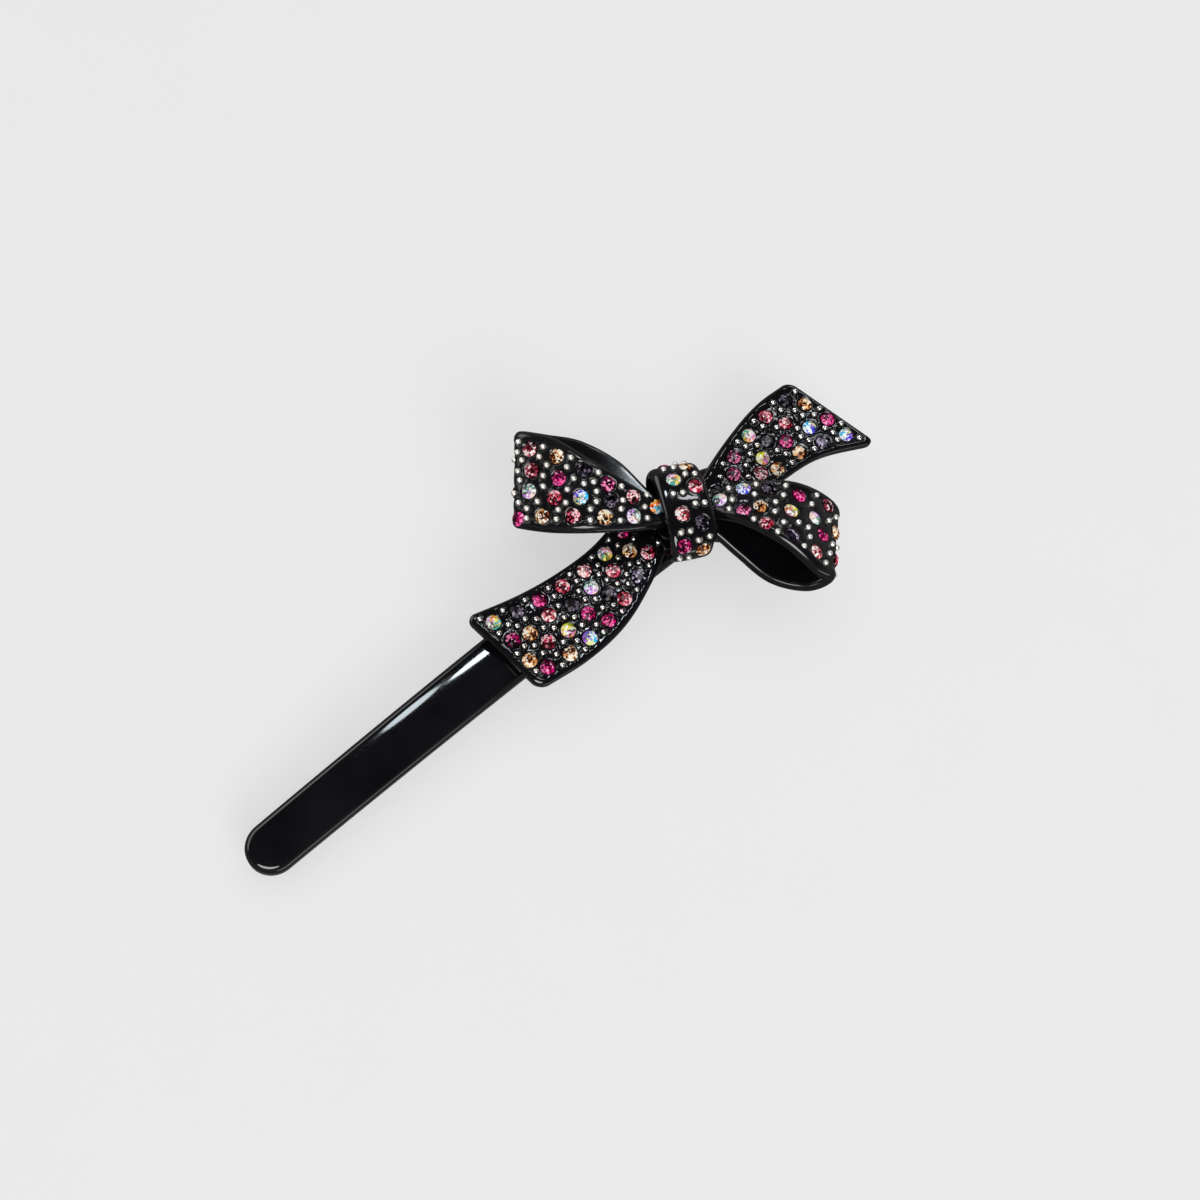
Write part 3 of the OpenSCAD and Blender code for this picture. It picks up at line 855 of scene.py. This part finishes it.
# from a screen's 0 to 255 to linear light, by the usual two-part curve
def linearColour(rgb):
    value = np.array(rgb, float) / 255
    return np.where(value < 0.04045, value / 12.92, ((value + 0.055) / 1.055) ** 2.4)


# a chaton of unit radius: rings of eight or sixteen points round the axis, joined by triangles
def cutStone():
    cut, mains = stoneCut, stoneCut["mains"]
    k, j = np.arange(mains), np.arange(2 * mains)
    whole, between, around = 2 * np.pi * k / mains, 2 * np.pi * (k + 0.5) / mains, np.pi * j / mains

    def ring(angles, radius, height):
        return np.stack([radius * np.cos(angles), radius * np.sin(angles), np.full(len(angles), height)], 1)

    points = np.vstack([
        [[0.0, 0.0, cut["tableHeight"]]],
        ring(between, cut["inner"], cut["tableHeight"]),
        ring(whole, cut["table"], cut["tableHeight"]),
        ring(between, cut["star"], cut["starHeight"]),
        ring(around, 1.0, 0.0),
        ring(around, 1.0, -cut["girdle"]),
        [[0.0, 0.0, -cut["culet"]]],
    ])
    before, after, beside = (k - 1) % mains, (k + 1) % mains, (j + 1) % (2 * mains)
    inner, table, star, girdle, lower, culet = np.cumsum([1] + [mains] * 3 + [2 * mains] * 2)
    groups = [
        np.stack([0 * k, inner + before, inner + k], 1),
        np.stack([table + k, inner + k, inner + before], 1),
        np.stack([inner + k, table + k, table + after], 1),
        np.stack([star + k, table + after, table + k], 1),
        np.stack([table + k, star + before, girdle + 2 * k], 1),
        np.stack([table + k, girdle + 2 * k, star + k], 1),
        np.stack([star + k, girdle + 2 * k, girdle + 2 * k + 1], 1),
        np.stack([star + k, girdle + 2 * k + 1, girdle + 2 * after], 1),
        np.stack([girdle + j, lower + j, lower + beside], 1),
        np.stack([girdle + j, lower + beside, girdle + beside], 1),
        np.stack([0 * j + culet, lower + beside, lower + j], 1),
    ]
    # each facet's painted light and shade, taken from its group
    shade = np.concatenate([np.full(len(group), light) for group, light in zip(groups, cut["shades"])])
    return points, np.vstack(groups), shade


# facet colours with painted light: a painted lit side and a painted shaded side across the stone, with a
# lighter and darker draw for every facet and a few facets painted white as glints; iridescent stones step
# through their colours round the stone
def paintFacetColourAndLight(letters, centres, shade):
    look = stonePaintedLight
    azimuth = np.arctan2(centres[:, 1], centres[:, 0])
    facetColoursAndLight = []
    for letter in letters:
        towards = randomDraws.uniform(0, 2 * np.pi)
        draw = randomDraws.uniform(-0.5, 0.5, len(shade))
        table = randomDraws.uniform(*look["tableDraw"]) * (shade < look["tableShade"])
        light = shade - look["dim"] + table + look["side"] * np.cos(azimuth - towards) + look["draw"] * draw
        if letter in auroraColoursAndGlints:
            ring = linearColour(auroraColoursAndGlints[letter])
            step = (azimuth + towards) / (2 * np.pi) * len(ring) + look["auroraTurn"] * draw[::-1]
            colour = ring[np.floor(step).astype(int) % len(ring)]
            # some facets painted white, as glints
            white = (randomDraws.uniform(size=len(shade)) < look["auroraPaintedGlint"])[:, None]
            bright = np.clip(look["auroraMiddle"] + look["auroraLight"] * light, look["auroraLeast"], 1.0)
            colour = np.where(white, 1.0, colour) * bright[:, None]
        else:
            shades = linearColour(stoneColoursShadeToGlint[letter])
            # a few facets painted near-white, as glints
            paintedGlint = (randomDraws.uniform(size=len(shade)) < look["paintedGlint"])[:, None]
            step = np.clip((light * len(shades)).astype(int), 0, len(shades) - 1)
            colour = np.where(paintedGlint, np.sqrt(shades[-1]), shades[step])
        facetColoursAndLight.append(colour)
    return np.concatenate(facetColoursAndLight)


# copies of one small shape: its x, y and z run along each copy's first, second and normal directions
def copyPoints(points, centre, first, second, normal):
    x, y, z = (points[None, :, i:i + 1] for i in range(3))
    placed = centre[:, None] + (x * first[:, None] + y * second[:, None] + z * normal[:, None])
    return placed.reshape(-1, 3)


def settingsName(kind, strip):
    return kind + strip["name"][0].upper() + strip["name"][1:]


# stones: one cut, turned by a draw about each seat's normal, with its colour and painted light, shade and
# glints on every corner of its facets
def makeStones(strip, material):
    points, faces, shade = cutStone()
    centre, normal, tangent = strip["stonePlaces"]
    letters = [row[2] for row in strip["stones"]]
    spin = randomDraws.uniform(0, 2 * np.pi, len(letters))[:, None]
    other = np.cross(normal, tangent)
    first = tangent * np.cos(spin) + other * np.sin(spin)
    second = np.cross(normal, first)
    placed = copyPoints(points * seatShape["stoneRadius"], centre, first, second, normal)
    offset = (np.arange(len(letters)) * len(points))[:, None, None]
    allFaces = (faces[None] + offset).reshape(-1, 3)
    name = settingsName("stones", strip)
    piece = addPiece(name, strip["place"](placed), allFaces, material, smooth=False, tidy=False)
    facetColoursAndLight = paintFacetColourAndLight(letters, points[faces].mean(axis=1), shade)
    layer = piece.data.attributes.new("facetColourAndPaintedLight", "FLOAT_COLOR", "CORNER")
    corners = np.repeat(np.hstack([facetColoursAndLight, np.ones((len(facetColoursAndLight), 1))]), 3, axis=0)
    layer.data.foreach_set("color", corners.ravel())
    return piece


# balls: rings of latitude closed by a point at each pole
def makeBalls(strip, material, sides=12, bands=7):
    centre, normal, tangent = strip["ballPlaces"]
    radius = strip["ballRadius"]
    latitude = np.pi * np.arange(1, bands) / bands
    turn = 2 * np.pi * np.arange(sides) / sides
    across = np.sin(latitude)[:, None]
    ring = np.stack([across * np.cos(turn), across * np.sin(turn),
                     np.cos(latitude)[:, None] + 0 * turn], -1).reshape(-1, 3)
    points = np.vstack([[[0, 0, 1.0]], ring, [[0, 0, -1.0]]]) * radius
    j = np.arange(sides)
    beside = (j + 1) % sides
    last = 1 + (bands - 2) * sides
    quads = ringQuads(bands - 1, sides) + 1
    top = np.stack([0 * j, 1 + j, 1 + beside], 1)
    foot = np.stack([0 * j + len(points) - 1, last + beside, last + j], 1)
    template = quads[:, ::-1].tolist() + top.tolist() + foot.tolist()
    placed = copyPoints(points, centre, tangent, np.cross(normal, tangent), normal)
    faces = [[v + i * len(points) for v in face] for i in range(len(centre)) for face in template]
    piece = addPiece(settingsName("balls", strip), strip["place"](placed), faces, material)
    return piece


# the clasp, in mm, and how many steps its mesh takes

claspShape = {
    "width": 5.0, "thickness": 0.8, "length": 78.0, "bendRadius": 2.1, "seat": 0.25, "edge": 0.22,
    "corner": 1.6, "lengthSteps": 130, "bendSteps": 40, "tipSteps": 9, "edgeSteps": 5,
}


# side view: an arc under the bar, a hairpin bend and a straight leaf; the strip's rounded section rides it
def makeClasp(shape, material):
    half, t = shape["length"] / 2, shape["thickness"]
    outerRadius = barShape["archRadius"] - barShape["thickness"] - shape["seat"]
    bendZ = shape["bendRadius"]
    bendX = np.sqrt((outerRadius - bendZ) ** 2 - (bendZ - archCentreZ) ** 2)
    tipAngle = np.pi / 2 + np.arcsin(half / outerRadius)
    bendAngle = np.arctan2(bendZ - archCentreZ, bendX)
    a = np.linspace(tipAngle, bendAngle, shape["lengthSteps"])
    archLine = np.stack([np.cos(a), np.sin(a)], 1) * (outerRadius - t / 2) + [0, archCentreZ]
    b = np.linspace(bendAngle, -np.pi / 2, shape["bendSteps"])[1:]
    bendLine = np.stack([np.cos(b), np.sin(b)], 1) * (bendZ - t / 2) + [bendX, bendZ]
    x = np.linspace(bendX, -half, shape["lengthSteps"])[1:]
    flatLine = np.stack([x, np.full(len(x), t / 2)], 1)
    line = np.vstack([archLine, bendLine, flatLine])
    run = np.concatenate([[0], np.cumsum(np.linalg.norm(np.diff(line, axis=0), axis=1))])
    tipSteps = roundSteps(shape["corner"], shape["tipSteps"])
    places = np.concatenate([tipSteps, run[(run > shape["corner"]) & (run < run[-1] - shape["corner"])],
                             (run[-1] - tipSteps)[::-1]])
    line = np.stack([np.interp(places, run, line[:, 0]), np.interp(places, run, line[:, 1])], 1)
    slope = unitRows(np.gradient(line, places, axis=0))
    outward = np.stack([-slope[:, 1], slope[:, 0]], 1)
    left = np.clip(shape["corner"] - np.minimum(places, run[-1] - places), 0, None)
    halfWidth = shape["width"] / 2 - shape["corner"] + np.sqrt(shape["corner"] ** 2 - left ** 2)
    r, count = shape["edge"], shape["edgeSteps"]
    turn = np.concatenate([np.linspace(q, q + np.pi / 2, count) for q in np.arange(4) * np.pi / 2])
    cornerY, cornerZ = np.repeat([1, -1, -1, 1], count), np.repeat([1, 1, -1, -1], count)
    y = cornerY * (halfWidth[:, None] - r) + r * np.cos(turn)
    h = cornerZ * (t / 2 - r) + r * np.sin(turn) + 0 * y
    points = np.stack([line[:, :1] + outward[:, :1] * h, y, line[:, 1:] + outward[:, 1:] * h], -1)
    faces = skinFaces(len(line), points.shape[1])
    piece = addPiece("claspStrip", points.reshape(-1, 3), faces, material)
    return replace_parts(piece, "clasp")


# the build

# a level square at the height that the clip stands on
def layFloor(look):
    side = look["half"]
    corners = [(-side, -side, 0), (side, -side, 0), (side, side, 0), (-side, side, 0)]
    mesh = bpy.data.meshes.new("floor")
    mesh.from_pydata(corners, [], [(0, 1, 2, 3)])
    mesh.materials.append(makeFloorMaterial(look))
    floor = addObject("floor", mesh)
    floor.visible_glossy = False                         # so that the black gloss stays black
    floor.visible_shadow = False                         # the low panel shines from below its level


# a turn about the knot's upright line, then a move to the knot's foot
def bowPlacer(turn):
    a = np.radians(turn)
    spin = np.array([[np.cos(a), -np.sin(a), 0], [np.sin(a), np.cos(a), 0], [0, 0, 1]])
    return lambda points: points @ spin.T + bowOrigin


placeCamera(cameraView)
hangSoftLights()
lightRoom(roomLight)
layFloor(floorLook)
bpy.context.scene.view_settings.view_transform = "Standard"
print("camera, lights and floor are in place")

bowAcetate, loopAcetate, barAcetate = (makeAcetate(name) for name in acetateFinishes)
crystal, springSteel = makeCrystal(crystalLook), makeSteel(steelLook)
satinMetal, mirrorMetal = makeBallMetal("satin"), makeBallMetal("mirror")

pieces = [makeBar(barShape, barAcetate), makeClasp(claspShape, springSteel)]
print("bar and clasp are built")

for strip, edges in ((tailLeft, tailEdges), (tailRight, tailEdges), (loopLeft, loopEdges),
                     (loopRight, loopEdges), (knotShape, knotEdges)):
    strip["edges"] = edges
    strip["closed"] = edges is knotEdges
    strip["finish"] = {tailEdges: ribbonFinish, loopEdges: loopFinish, knotEdges: knotFinish}[edges]
    strip["place"] = bowPlacer(strip["turn"])
    strip["stonePlaces"] = settingPlaces(strip, strip["stones"], seatShape["stoneLift"])
    strip["ballPlaces"] = settingPlaces(strip, strip["balls"], seatShape["ballLift"])
    strip.setdefault("ballRadius", seatShape["ballRadius"])
    plastic = loopAcetate if edges is loopEdges else bowAcetate
    pieces.append(makeStrip(strip, plastic))
    pieces.append(makeStones(strip, crystal))
    pieces.append(makeBalls(strip, mirrorMetal if edges is tailEdges else satinMetal))
    print(strip["name"], "is built with", len(strip["stones"]), "stones and", len(strip["balls"]), "balls")

for piece in pieces:
    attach(piece, "root")
